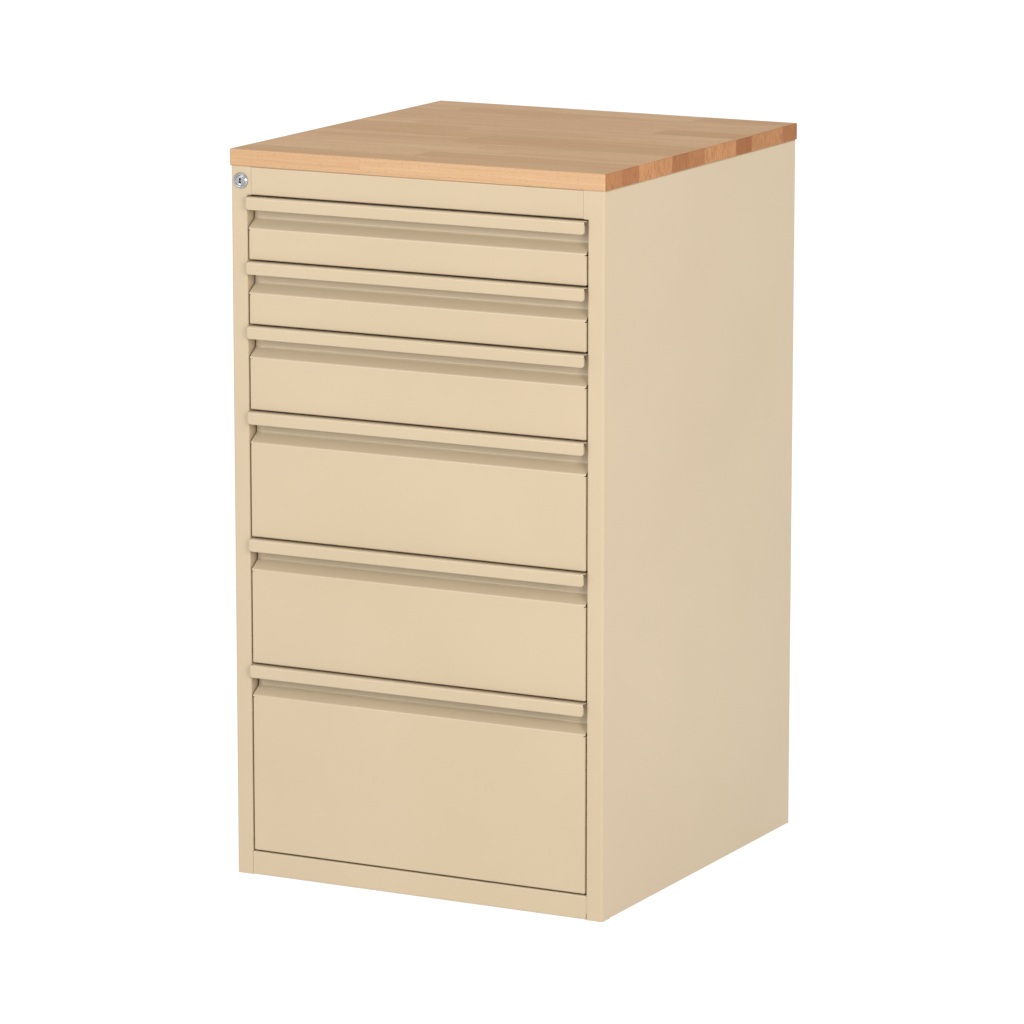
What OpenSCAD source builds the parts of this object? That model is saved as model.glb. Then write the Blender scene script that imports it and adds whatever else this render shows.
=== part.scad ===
// Steel drawer cabinet with six inset drawers, full-extension slides, a gang lock and a beech worktop.
// Millimetres. The front faces -Y, +Z is up, and the origin is the centre of the footprint, on the floor.

/* [Cabinet] */
// Width over the side panels
cabinet_w = 487; // [420:1:600]
// Depth from the front plane to the back
cabinet_d = 518; // [500:1:600]
// Thickness of the folded sheet steel
sheet = 1.2; // [1.0:0.1:1.2]
// Width of the front stiles beside the drawers
stile_w = 21.3; // [21:0.1:24]
// Width of the stile's flat head above the drawers
stile_head_w = 27; // [26:0.5:32]
// Depth of the stile's inner return
stile_return = 18; // [14:1:20]
// Height of the rail above the drawers
top_rail_h = 33; // [31:1:45]
// Height of the rail below the drawers
bottom_rail_h = 28.8; // [26:0.2:45]

/* [Worktop] */
// Thickness of the beech top
worktop_t = 20; // [18:1:40]
// Overhang of the top on all four sides
worktop_overhang = 1; // [1:0.5:5]

/* [Drawers] */
// Pitch of each drawer front from the top down, in inches
pitch_in = [3, 3, 4, 6, 6, 9]; // [3:1:12]
// Gap round each drawer front
gap = 1.8; // [1.5:0.1:3]
// Height of the pull lip
lip_h = 15.3; // [12:0.1:18]
// How far the lip stands out of the front plane
lip_proud = 6; // [4:0.5:8]
// Depth of the finger recess behind the front plane
recess_d = 14.8; // [12:0.1:16]

/* [Slides] */
// Height of the slide section
slide_h = 36; // [30:1:36]
// Thickness of the slide section, from upright to drawer
slide_t = 12.7; // [12.7:0.1:13]
// Length of the cabinet and inner rails
rail_l = 457; // [350:1:465]

/* [Lock] */
// Diameter of the lock's bezel
bezel_d = 19; // [18:0.5:22]
// Diameter of the lock's barrel
barrel_d = 16; // [14:0.5:16]
// Lock centre, inward from the side of the cabinet
lock_in = 13.5; // [13:0.5:14.5]
// Lock centre, down from the underside of the worktop
lock_down = 17; // [16:0.5:18]

/* [Hidden] */
$fn = 48;
inch = 25.4;
slack = 0.1;            // radial clearance of a screw in its hole
seam = 0.2;             // open line between pieces that are welded edge to edge

// Cabinet
half_w = cabinet_w / 2;
drawer_count = len(pitch_in);
drawer_ids = [0 : drawer_count - 1];
function sum_to(n) = n == 0 ? 0 : pitch_in[n - 1] * inch + sum_to(n - 1);
opening_top = bottom_rail_h + gap + sum_to(drawer_count);
body_h = opening_top + top_rail_h;
opening_w = cabinet_w - 2 * stile_w;
total_d = lip_proud + cabinet_d + worktop_overhang;
front_y = lip_proud - total_d / 2;         // the front plane
back_y = front_y + cabinet_d;
flange = stile_head_w;                     // width of the side panels' rear, top and bottom flanges
edge_bend = 2.4;                           // centre-line radius of the cabinet's outer bends
small_bend = 1.4;
case_back_y = back_y - 2 * sheet;          // inner face of the back panel
floor_y = front_y + stile_return + 2;      // the base pan and bottom flanges start behind the stiles
top_flange_z = body_h - sheet;
worktop_screw_places = [for (x = [-150, 0, 150], y = [front_y + 27, case_back_y - 27]) [x, y]];

// Drawers
front_w = opening_w - 2 * gap;
box_w = opening_w - 2 * slide_t;
box_y = front_y + recess_d + sheet;        // the box starts at the back of the recess wall
box_l = rail_l + 13;
box_under = 6;                             // from the front's lower edge to the box's floor
box_over = 8.4;                            // from the box's rim to the front's upper edge
crest_drop = 37.7;                         // from the front's upper edge to the crest under the recess
foot_drop = 27.5;                          // from the front's upper edge to the foot of the recess wall
hem_h = 10;
function front_top(i) = opening_top - gap - sum_to(i);
function front_bottom(i) = front_top(i) - pitch_in[i] * inch + gap;

// Slides: each section is drawn from the upright, x = 0, to the box, x = slide_t
rail_y = front_y + 24;
rail_low = 8.5;                            // from the front's lower edge to the slide's lower edge
ball_gap = 2.4;                            // room for the balls between two rails
cabinet_rail_reach = 10.5;
middle_rail_start = 3.4;
middle_rail_reach = 10.8;
inner_rail_reach = 5.6;
middle_half_h = slide_h / 2 - sheet - ball_gap;
inner_half_h = middle_half_h - sheet - ball_gap;
upright_ys = [front_y + 40, rail_y + rail_l - 51];
upright_d = 30;
screw_d = 3.8;
screw_head_d = 7;
screw_head_t = 1.8;
rail_screw_ys = [70, rail_l - 57];         // along the inner rail, from its front end
function rail_z(i) = front_bottom(i) + rail_low + slide_h / 2;

// Lock: the drive pin swings from 45 degrees below the axis to 45 degrees above it
lock_x = -half_w + lock_in;
lock_z = body_h - lock_down;
lock_proud = 3;
barrel_l = 20.5;
nut_t = 4;
nut_d = 22.4;                              // across the corners
plug_d = 12;
plug_gap = 0.08;
cam_t = 2;
pin_r = 10;
pin_d = 3.8;
cam_y = front_y + barrel_l + 0.3;          // the cam turns just clear of the barrel
bar_y = cam_y + cam_t + 2.8;
bar_t = 2;
bar_x = -half_w + 5;
bar_w = 10;
bar_lift = 2 * pin_r * sin(45);
finger_l = 12.5;
finger_h = 6;
finger_rise = rail_low + slide_h + 1.1;    // from a front's lower edge to its finger, unlocked
catch_rise = finger_rise + bar_lift;
catch_reach = 10;
slot_h = pin_d + 1.2;
guide_drawers = [0, 2, 4, 5];              // drawers with a bar guide beside them
guide_rise = 20;
guide_gap = 0.3;
guide_wall = 1.2;

paint = "#dcc8a9";
beech = "#dcae80";
zinc = "#b9bcc0";
chrome = "#d6d9dc";

DRAWER_PIECES = ["front", "box", "cabinet_rails", "middle_rails", "inner_rails", "rail_screws"];
function drawer_node(i, piece) = str("drawer_", i + 1, "_", piece);

// ---- Folded sheet ----

function unit(v) = v / norm(v);
function left_of(v) = [-v[1], v[0]];

// Points of one bend of centre-line radius r, at corner p between points a and b
function bend(a, p, b, r, steps = 5) =
    let (u = unit(a - p), v = unit(b - p))
    let (half = acos(u * v) / 2)
    let (centre = p + unit(u + v) * r / sin(half))
    let (s = p + u * r / tan(half) - centre, e = p + v * r / tan(half) - centre)
    let (start = atan2(s[1], s[0]), sweep = atan2(s[0] * e[1] - s[1] * e[0], s * e))
    [for (k = [0 : steps]) centre + r * [cos(start + sweep * k / steps), sin(start + sweep * k / steps)]];

// Centre line with its inner corners bent: radii has one radius for each inner corner
function folded(pts, radii) = [
    pts[0],
    for (i = [1 : len(pts) - 2]) each bend(pts[i - 1], pts[i], pts[i + 1], radii[i - 1]),
    pts[len(pts) - 1]];

// The line at distance d to the left of a centre line
function beside(line, d) =
    let (last = len(line) - 1)
    [for (i = [0 : last])
        let (into = unit(line[max(i, 1)] - line[max(i, 1) - 1]))
        let (out = unit(line[min(i, last - 1) + 1] - line[min(i, last - 1)]))
        let (n = unit(left_of(into) + left_of(out)))
        line[i] + n * d / (n * left_of(out))];

function reversed(list) = [for (i = [len(list) - 1 : -1 : 0]) list[i]];

// Section of folded sheet along a centre line
module fold_section(pts, radii, t = sheet) {
    line = folded(pts, radii);
    polygon(concat(beside(line, t / 2), reversed(beside(line, -t / 2))));
}

// Draws an XY section from z0 to z1
module along_z(z0, z1) {
    translate([0, 0, z0]) linear_extrude(z1 - z0) children();
}

// Draws a section given as [y, z] from x0 to x1
module along_x(x0, x1) {
    translate([x0, 0, 0]) rotate([90, 0, 90]) linear_extrude(x1 - x0) children();
}

// Draws a section given as [x, z] from y0 to y1
module along_y(y0, y1) {
    translate([0, y1, 0]) rotate([90, 0, 0]) linear_extrude(y1 - y0) children();
}

module block(low, high) {
    translate(low) cube(high - low);
}

module on_right() {
    mirror([1, 0, 0]) children();
}

// Cylinder from y0 to y1 on the axis through (x, z)
module rod_y(x, z, y0, y1, d) {
    translate([x, y1, z]) rotate([90, 0, 0]) cylinder(h = y1 - y0, d = d);
}

// Cylinder from x0 to x1 on the axis through (y, z)
module rod_x(y, z, x0, x1, d) {
    translate([x0, y, z]) rotate([0, 90, 0]) cylinder(h = x1 - x0, d = d);
}

// ---- Cabinet ----

// Outline of a side panel from the front flange to the rear flange, for the left side
function wall_line(front_edge) =
    let (x = -half_w + sheet / 2, y = front_y + sheet / 2)
    [[-half_w + front_edge, y], [x, y], [x, back_y - sheet / 2], [-half_w + flange, back_y - sheet / 2]];

module side_panel_body() {
    return_x = -half_w + stile_w - sheet / 2;
    wall = wall_line(stile_w - sheet / 2);
    stile_line = concat([[return_x, front_y + stile_return]], wall);
    along_z(0, opening_top) fold_section(stile_line, [small_bend, edge_bend, edge_bend]);
    along_z(opening_top, body_h) fold_section(wall_line(stile_head_w), [edge_bend, edge_bend]);
    block([-half_w + sheet / 2, front_y + sheet, top_flange_z], [-half_w + flange, case_back_y, body_h]);
    block([-half_w + sheet / 2, floor_y, 0], [-half_w + flange, case_back_y, sheet]);
}

module left_side_panel() {
    color(paint) difference() {
        side_panel_body();
        rod_y(lock_x, lock_z, front_y - 1, front_y + 2 * sheet, barrel_d + 2 * slack);
    }
}

module right_side_panel() {
    color(paint) on_right() side_panel_body();
}

module back_panel() {
    inset = sheet + edge_bend;
    color(paint) block([-half_w + inset, case_back_y, 0], [half_w - inset, back_y - sheet, body_h]);
}

module base_pan() {
    x = half_w - sheet * 1.5;
    top_z = bottom_rail_h - sheet / 2;
    low_z = top_z - 12;
    skirt = [[-x, low_z], [-x, top_z], [x, top_z], [x, low_z]];
    color(paint) along_y(floor_y, case_back_y) fold_section(skirt, [small_bend, small_bend]);
}

module top_rail() {
    y = front_y + sheet / 2;
    low = opening_top + sheet / 2;
    high = body_h - sheet / 2;
    x = half_w - stile_head_w - seam;
    section = [[front_y + 18, low], [y, low], [y, high], [front_y + 40, high]];
    color(paint) difference() {
        along_x(-x, x) fold_section(section, [small_bend, small_bend]);
        for (p = worktop_screw_places) worktop_screw_hole(p);
    }
}

module bottom_rail() {
    y = front_y + sheet / 2;
    low = 0.5 + sheet / 2;
    high = bottom_rail_h - sheet / 2;
    x = opening_w / 2 - seam;
    section = [[front_y + 18, low], [y, low], [y, high], [floor_y, high]];
    color(paint) along_x(-x, x) fold_section(section, [small_bend, small_bend]);
}

module rear_top_rail() {
    y = case_back_y - sheet / 2;
    high = body_h - sheet / 2;
    x = half_w - flange - seam;
    section = [[case_back_y - 40, high], [y, high], [y, body_h - 36]];
    color(paint) difference() {
        along_x(-x, x) fold_section(section, [small_bend]);
        for (p = worktop_screw_places) worktop_screw_hole(p);
    }
}

// Channel between a side panel and the slides, for the left side; y0 is its web
module upright_body(y0) {
    foot_x = -half_w + sheet * 1.5;
    face_x = -half_w + stile_w - sheet / 2;
    y = y0 + sheet / 2;
    section = [[foot_x, y0 + 20], [foot_x, y], [face_x, y], [face_x, y0 + upright_d]];
    difference() {
        along_z(bottom_rail_h, opening_top - 2) fold_section(section, [small_bend, small_bend]);
        for (i = drawer_ids)
            rod_x(y0 + upright_d / 2, rail_z(i), face_x - sheet, face_x + sheet, screw_d + 2 * slack);
    }
}

module front_left_upright() { color(paint) upright_body(upright_ys[0]); }
module front_right_upright() { color(paint) on_right() upright_body(upright_ys[0]); }
module rear_left_upright() { color(paint) upright_body(upright_ys[1]); }
module rear_right_upright() { color(paint) on_right() upright_body(upright_ys[1]); }

// Left slide screw: its head lies inside the cabinet rail
module slide_screw(y, z) {
    face_x = -half_w + stile_w;
    rod_x(y, z, face_x + sheet, face_x + sheet + screw_head_t, screw_head_d);
    rod_x(y, z, face_x - 7, face_x + sheet, screw_d);
}

module slide_screws() {
    color(zinc) for (side = [0, 1], i = drawer_ids, y0 = upright_ys)
        mirror([side, 0, 0]) slide_screw(y0 + upright_d / 2, rail_z(i));
}

// ---- Worktop ----

module worktop_screw_hole(p) {
    translate([p[0], p[1], body_h - 2 * sheet]) cylinder(h = 3 * sheet, d = screw_d + 4 * slack);
}

module worktop() {
    low = [-half_w - worktop_overhang, front_y - worktop_overhang, body_h];
    high = [half_w + worktop_overhang, back_y + worktop_overhang, body_h + worktop_t];
    color(beech) difference() {
        block(low, high);
        for (p = worktop_screw_places)
            translate([p[0], p[1], body_h - 1]) cylinder(h = 15, d = screw_d + 2 * slack);
    }
}

module worktop_screws() {
    color(zinc) for (p = worktop_screw_places) translate([p[0], p[1], 0]) {
        translate([0, 0, top_flange_z]) cylinder(h = 13, d = screw_d);
        translate([0, 0, top_flange_z - 2.2]) cylinder(h = 2.2, d = 8);
    }
}

// ---- Lock ----

module lock_housing() {
    color(chrome) difference() {
        union() {
            rod_y(lock_x, lock_z, front_y, front_y + barrel_l, barrel_d);
            translate([lock_x, front_y, lock_z]) rotate([90, 0, 0]) rotate_extrude()
                polygon([[0, 0], [bezel_d / 2, 0], [bezel_d / 2, 1], [plug_d / 2 + 1, lock_proud],
                         [0, lock_proud]]);
        }
        rod_y(lock_x, lock_z, front_y - lock_proud - 1, cam_y + 1, plug_d + 2 * plug_gap);
    }
}

module lock_nut() {
    color(zinc) difference() {
        translate([lock_x, front_y + sheet + nut_t, lock_z]) rotate([90, 30, 0])
            cylinder(h = nut_t, d = nut_d, $fn = 6);
        rod_y(lock_x, lock_z, front_y, front_y + 2 * nut_t, barrel_d + slack);
    }
}

module lock_plug() {
    face_y = front_y - lock_proud + 0.4;
    color(chrome) difference() {
        union() {
            rod_y(lock_x, lock_z, face_y, cam_y, plug_d);
            block([lock_x - 3, cam_y - 1, lock_z - 3], [lock_x + 3, cam_y + cam_t, lock_z + 3]);
        }
        block([lock_x - 0.9, face_y - 1, lock_z - 4], [lock_x + 0.9, face_y + 12, lock_z + 4]);
        rod_y(lock_x, lock_z, cam_y - 6, cam_y + 4, 3.4);
    }
}

// Cam with its drive pin, drawn with the plug unturned
module lock_cam() {
    color(zinc) translate([lock_x, 0, lock_z]) rotate([0, 45, 0]) difference() {
        union() {
            rod_y(0, 0, cam_y, cam_y + cam_t, 13);
            rod_y(pin_r, 0, cam_y, cam_y + cam_t, 7);
            block([0, cam_y, -3.5], [pin_r, cam_y + cam_t, 3.5]);
            rod_y(pin_r, 0, cam_y + cam_t, bar_y + bar_t + 1, pin_d);
        }
        rotate([0, -45, 0]) block([-3.05, cam_y - 1, -3.05], [3.05, cam_y + cam_t + 1, 3.05]);
    }
}

module lock_cam_screw() {
    color(zinc) {
        rod_y(lock_x, lock_z, cam_y + cam_t, cam_y + cam_t + 2.2, 8.8);
        rod_y(lock_x, lock_z, cam_y - 5, cam_y + cam_t, 3.2);
    }
}

// Flat bar with a driven head and one finger for each drawer, unlocked
module lock_bar() {
    pin_x = lock_x + pin_r * cos(45);
    pin_z = lock_z - pin_r * sin(45);
    slot_x = [pin_x - 2.6, lock_x + pin_r + 4];
    low = finger_rise + front_bottom(drawer_count - 1) - 10;
    color(zinc) difference() {
        union() {
            block([bar_x, bar_y, low], [bar_x + bar_w, bar_y + bar_t, pin_z + 6]);
            block([bar_x, bar_y, pin_z - 6], [slot_x[1] + 2.5, bar_y + bar_t, pin_z + 6]);
            for (i = drawer_ids) let (z = front_bottom(i) + finger_rise)
                block([bar_x, bar_y, z], [bar_x + bar_w + finger_l, bar_y + bar_t, z + finger_h]);
        }
        block([slot_x[0], bar_y - 1, pin_z - slot_h / 2],
              [slot_x[1], bar_y + bar_t + 1, pin_z + slot_h / 2]);
    }
}

module lock_bar_guides() {
    wall_x = -half_w + sheet;
    color(zinc) for (i = guide_drawers) let (z = front_bottom(i) + guide_rise) difference() {
        block([wall_x, bar_y - guide_gap - guide_wall, z],
              [bar_x + bar_w + guide_gap + guide_wall, bar_y + bar_t + guide_gap + guide_wall, z + 10]);
        block([bar_x - guide_gap, bar_y - guide_gap, z - 1],
              [bar_x + bar_w + guide_gap, bar_y + bar_t + guide_gap, z + 11]);
    }
}

// ---- Drawers ----

// Front: the lower return, main face, slope, recess wall, upper return and pull lip are one fold
module drawer_front(i) {
    low = front_bottom(i) + sheet / 2;
    top = front_top(i);
    face_y = front_y + sheet / 2;
    wall_y = front_y + recess_d + sheet / 2;
    lip_y = front_y - lip_proud + sheet / 2;
    section = [[box_y, low], [face_y, low], [face_y, top - crest_drop], [wall_y, top - foot_drop],
               [wall_y, top - sheet / 2], [lip_y, top - sheet / 2], [lip_y, top - lip_h]];
    color(paint) {
        along_x(-front_w / 2, front_w / 2)
            fold_section(section, [small_bend, small_bend, 5, small_bend, edge_bend]);
        block([-front_w / 2, lip_y + sheet / 2, top - lip_h],
              [front_w / 2, lip_y + sheet * 1.5, top - lip_h + 10]);
        for (x = [-front_w / 2, front_w / 2 - sheet])
            block([x, face_y, low], [x + sheet, box_y, top - crest_drop - 1]);
    }
}

// Box: an open tray with hemmed rims and, on its left side, the tab that the lock bar blocks
module drawer_box(i) {
    low = [-box_w / 2, box_y, front_bottom(i) + box_under];
    high = [box_w / 2, box_y + box_l, front_top(i) - box_over];
    wall = [sheet, sheet, sheet];
    hem = [sheet, sheet, 0] * 2;
    catch_low = [low[0] - catch_reach, bar_y + bar_t + 0.8, front_bottom(i) + catch_rise];
    color(paint) difference() {
        union() {
            difference() {
                block(low, high);
                block(low + wall, [high[0] - sheet, high[1] - sheet, high[2] - hem_h]);
                block([low[0] + hem[0], low[1] + hem[1], high[2] - hem_h - 1], high - hem + [0, 0, 1]);
            }
            block(catch_low, catch_low + [catch_reach + sheet / 2, bar_t, finger_h]);
        }
        for (side = [0, 1], y = rail_screw_ys) mirror([side, 0, 0])
            rod_x(rail_y + y, rail_z(i), low[0] - 1, low[0] + 2 * sheet, screw_d + 2 * slack);
    }
}

// Places a left slide's section, and the same on the right
module both_slides(i, y0, y1) {
    for (side = [0, 1]) mirror([side, 0, 0])
        translate([-opening_w / 2, 0, rail_z(i)]) along_y(y0, y1) children();
}

module cabinet_rails(i) {
    x = sheet / 2;
    h = slide_h / 2 - sheet / 2;
    section = [[cabinet_rail_reach, h], [x, h], [x, -h], [cabinet_rail_reach, -h]];
    color(zinc) difference() {
        both_slides(i, rail_y, rail_y + rail_l) fold_section(section, [small_bend, small_bend]);
        for (side = [0, 1], y0 = upright_ys) mirror([side, 0, 0])
            rod_x(y0 + upright_d / 2, rail_z(i), -opening_w / 2 - 1, -opening_w / 2 + 2 * sheet,
                  screw_d + 2 * slack);
    }
}

module middle_rails(i) {
    x = middle_rail_start + sheet / 2;
    h = middle_half_h - sheet / 2;
    section = [[middle_rail_reach, h], [x, h], [x, -h], [middle_rail_reach, -h]];
    color(zinc) both_slides(i, rail_y + 1, rail_y + rail_l - 3)
        fold_section(section, [small_bend, small_bend]);
}

module inner_rails(i) {
    x = slide_t - sheet / 2;
    h = inner_half_h - sheet / 2;
    section = [[inner_rail_reach, h], [x, h], [x, -h], [inner_rail_reach, -h]];
    color(zinc) difference() {
        both_slides(i, rail_y, rail_y + rail_l) fold_section(section, [small_bend, small_bend]);
        for (side = [0, 1], y = rail_screw_ys) mirror([side, 0, 0])
            rod_x(rail_y + y, rail_z(i), -box_w / 2 - 2 * sheet, -box_w / 2 + 1, screw_d + 2 * slack);
    }
}

module rail_screws(i) {
    x = -box_w / 2 + sheet;
    color(zinc) for (side = [0, 1], y = rail_screw_ys) mirror([side, 0, 0]) {
        rod_x(rail_y + y, rail_z(i), x, x + screw_head_t, screw_head_d);
        rod_x(rail_y + y, rail_z(i), x - 3.6, x, screw_d);
    }
}

left_side_panel();
right_side_panel();
back_panel();
base_pan();
top_rail();
bottom_rail();
rear_top_rail();
front_left_upright();
front_right_upright();
rear_left_upright();
rear_right_upright();
worktop();
worktop_screws();
slide_screws();
lock_housing();
lock_nut();
lock_plug();
lock_cam();
lock_cam_screw();
lock_bar();
lock_bar_guides();
for (i = drawer_ids) {
    drawer_front(i);
    drawer_box(i);
    cabinet_rails(i);
    middle_rails(i);
    inner_rails(i);
    rail_screws(i);
}
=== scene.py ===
"""Looks of a steel drawer cabinet with a beech worktop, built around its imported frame.

Metres, in the frame's own axes: the front faces -Y, +X is right and +Z is up.
"""
import math
import random

import bmesh
import bpy
from mathutils import Matrix, Vector


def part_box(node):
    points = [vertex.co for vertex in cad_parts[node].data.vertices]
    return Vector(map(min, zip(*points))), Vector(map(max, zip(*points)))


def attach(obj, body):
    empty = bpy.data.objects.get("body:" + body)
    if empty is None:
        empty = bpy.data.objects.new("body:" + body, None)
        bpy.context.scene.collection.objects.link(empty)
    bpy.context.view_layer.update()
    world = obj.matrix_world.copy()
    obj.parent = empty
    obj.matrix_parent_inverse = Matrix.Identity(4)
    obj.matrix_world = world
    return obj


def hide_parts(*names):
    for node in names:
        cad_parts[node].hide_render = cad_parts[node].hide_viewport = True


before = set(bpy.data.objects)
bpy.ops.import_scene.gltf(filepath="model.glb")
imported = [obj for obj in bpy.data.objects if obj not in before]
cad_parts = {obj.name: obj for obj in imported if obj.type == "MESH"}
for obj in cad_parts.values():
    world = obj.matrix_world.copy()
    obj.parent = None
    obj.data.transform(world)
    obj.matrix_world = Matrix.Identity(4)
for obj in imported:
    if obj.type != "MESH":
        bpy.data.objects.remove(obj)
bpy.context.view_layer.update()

# ---- Sizes read from the frame ----
MM = 0.001
DRAWERS = range(1, 7)
PANEL_LOW, PANEL_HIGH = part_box("right_side_panel")
HALF_W = PANEL_HIGH.x
FRONT_Y = PANEL_LOW.y
BACK_Y = PANEL_HIGH.y
BODY_TOP = PANEL_HIGH.z
FLANGE_X = PANEL_LOW.x                       # inner edge of the side panels' flanges and stile heads
CASE_BACK_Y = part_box("back_panel")[0].y      # inner face of the back panel
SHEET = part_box("back_panel")[1].y - CASE_BACK_Y
OPENING_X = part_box("drawer_1_cabinet_rails")[1].x
OPENING_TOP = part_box("top_rail")[0].z
FLOOR_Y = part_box("base_pan")[0].y            # front edge of the base pan
BOX_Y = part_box("drawer_1_box")[0].y          # front of the drawer boxes, behind the recess walls
LOCK_LOW, LOCK_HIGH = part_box("lock_housing")
LOCK_AXIS = (LOCK_LOW + LOCK_HIGH) / 2
BEZEL_PROUD = FRONT_Y - LOCK_LOW.y

# ---- Sizes of the folds ----
SMALL_BEND = 1.4 * MM                        # centre-line radii of the bends
EDGE_BEND = 2.4 * MM
CREST_BEND = 2.6 * MM
FOOT_BEND = 5 * MM
HEM_BEND = 0.75 * MM
HEM_H = 10 * MM
RETURN_D = 18 * MM                           # depth of the stile's return and the rails' inner flanges
RELIEF = 1 * MM                              # corner reliefs, where two flanges meet
CREST_DROP = 37.7 * MM                       # from a front's upper edge down to its crest
FOOT_DROP = 27.5 * MM
LIP_H = 15.3 * MM
LIP_CORNER_TOP = 1.8 * MM
LIP_CORNER_LOW = 3.0 * MM
EASE = 0.25 * MM                             # rounding of cut edges
WELD = 0.001 * MM
FLAP_GAP = 2 * HEM_BEND                      # from a wall to its hem, centre to centre
SHELF_D = 4 * MM                             # flat part of the lip's top behind its front bend
PAN_STRIP = 8 * MM                           # strip of a front's face beside its edges
HEM_NOTCH = 2.8 * MM                         # how far a box's end walls stand in to clear the hems
NOTCH_SLOPE = 1.6 * MM                       # height over which that notch runs out
UPRIGHT_LEG = 20 * MM                        # depth of an upright's outer leg
METAL_EASE = 0.08 * MM                       # finer rounding for small turned parts
BEZEL_EASE = 0.06 * MM
SLIDE_EASE = 0.15 * MM
WOOD_EASE = 1.3 * MM

# ---- Sizes of the lock and the screws ----
BARREL_R = 8 * MM
HOLE_PLAY = 0.1 * MM
X_AXIS, Z_AXIS = 0, 2
WORKTOP_HEAD_H = 2.2 * MM
SLIDE_HEAD_H = 1.8 * MM
SHANK_SHARE = {X_AXIS: 0.54, Z_AXIS: 0.47}   # a shank's radius as a share of its head's

# ---- Staves of the worktop ----
STAVE_ROWS = 12
SHORTEST_STAVE = 0.09
STAVE_SEED = 12
# How dark each row's stave is at the right-hand end, from the front row to the back row
END_TONES = (0.55, 0.75, 0.20, 0.30, 0.80, 0.70, 0.25, 0.30, 0.95, 0.45, 0.40, 0.75)

# ---- Colours, in linear light ----
PAINT_LIGHT = (0.460, 0.371, 0.256)
PAINT_DEEP = (0.445, 0.357, 0.243)
PAINT_SPECK = (0.404, 0.315, 0.200)
WOOD_PALE = (0.558, 0.379, 0.225)
WOOD_DEEP = (0.452, 0.280, 0.152)
WOOD_RING = (0.381, 0.216, 0.111)
WOOD_FLECK = (0.291, 0.150, 0.068)
END_PALE = (0.465, 0.241, 0.109)
END_DEEP = (0.265, 0.103, 0.043)
END_RING = (0.180, 0.066, 0.027)
ZINC_LIGHT = (0.70, 0.71, 0.72)
ZINC_DEEP = (0.60, 0.61, 0.62)
CHROME_LIGHT = (0.425, 0.433, 0.451)
CHROME_DEEP = (0.344, 0.353, 0.369)
# Painted shade for the keyhole's inside: near-black colours that stand for the shade in the deep, narrow
# hole
KEYWAY_SHADE_DEEP = (0.008, 0.007, 0.006)
KEYWAY_SHADE_MOTTLE = (0.03, 0.025, 0.02)
FLOOR_LIGHT = (0.42, 0.42, 0.42)
FLOOR_DEEP = (0.40, 0.40, 0.40)
WHITE = (1.0, 1.0, 1.0)
WARM_WHITE = (1.0, 0.95, 0.88)

# ---- Finishes: roughness from the smoothest places to the roughest, and how strongly they mirror ----
PAINT_ROUGHNESS = (0.21, 0.25)
WOOD_ROUGHNESS = (0.62, 0.76)
ZINC_ROUGHNESS = (0.26, 0.42)
CHROME_ROUGHNESS = (0.14, 0.24)
KEYWAY_ROUGHNESS = (0.5, 0.8)
FLOOR_ROUGHNESS = 0.9
PAINT_SPECULAR = 0.27
WOOD_SPECULAR = 0.09

# ---- Camera and light ----
CAMERA_AIM = Vector((-0.0045, -0.0055, 0.4166))
CAMERA_DISTANCE = 6.547
CAMERA_YAW = math.radians(27.45)
CAMERA_DOWN = math.radians(11.26)
CAMERA_LENS = 191.6
CAMERA_SENSOR = 36
FLOOR_REACH = 30.0
FLOOR_GLOW = 0.66                            # keeps the floor near white out to its far edge
SKY_LOW = 0.82                               # brightness of the surroundings just above the horizon band
SKY_HIGH = 0.92                              # and overhead
SKY_HORIZON = 1.0                            # as white as the floor, so that no edge shows between them
HORIZON_TOP = 0.15                           # height of the white band, as the sine of its elevation
OVERHEAD = 0.9


# ---- Mesh helpers ----

def link(obj):
    """Puts an object in the scene."""
    bpy.context.scene.collection.objects.link(obj)
    return obj


def object_from(bm, name):
    """Turns a bmesh into a linked, smooth-shaded object."""
    bmesh.ops.remove_doubles(bm, verts=bm.verts, dist=WELD)
    bmesh.ops.recalc_face_normals(bm, faces=bm.faces)
    mesh = bpy.data.meshes.new(name)
    bm.to_mesh(mesh)
    bm.free()
    mesh.shade_smooth()
    return link(bpy.data.objects.new(name, mesh))


def add_grid(bm, rows):
    """Quads between rows of points, where every row has the same number of points."""
    made = [[bm.verts.new(p) for p in row] for row in rows]
    for lower, upper in zip(made, made[1:]):
        for a, b, c, d in zip(lower, lower[1:], upper[1:], upper):
            bm.faces.new((a, b, c, d))


def surface(name, grids):
    """An object made of grids of points, welded where they meet."""
    bm = bmesh.new()
    for rows in grids:
        add_grid(bm, rows)
    return object_from(bm, name)


def thicken(obj, thickness=SHEET):
    """Gives a surface the sheet's thickness, half to each side."""
    solid = obj.modifiers.new("thickness", "SOLIDIFY")
    solid.thickness = thickness
    solid.offset = 0
    solid.use_even_offset = True
    return obj


def ease_edges(obj, width=EASE, segments=2):
    """Rounds the sharp edges, and keeps flat faces flat in the shading."""
    bevel = obj.modifiers.new("eased_edges", "BEVEL")
    bevel.width = width
    bevel.segments = segments
    bevel.limit_method = "ANGLE"
    bevel.angle_limit = math.radians(50)
    bevel.use_clamp_overlap = False
    normals = obj.modifiers.new("flat_faces", "WEIGHTED_NORMAL")
    normals.keep_sharp = True
    return obj


def freeze(obj):
    """Applies an object's modifiers."""
    graph = bpy.context.evaluated_depsgraph_get()
    evaluated = obj.evaluated_get(graph)
    mesh = bpy.data.meshes.new_from_object(evaluated, preserve_all_data_layers=True, depsgraph=graph)
    obj.modifiers.clear()
    obj.data = mesh
    return obj


def cut(obj, cutter):
    """Cuts one object out of another, and removes the cutter."""
    boolean = obj.modifiers.new("cut", "BOOLEAN")
    boolean.object = cutter
    boolean.solver = "EXACT"
    freeze(obj)
    bpy.data.objects.remove(cutter)
    return obj


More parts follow.
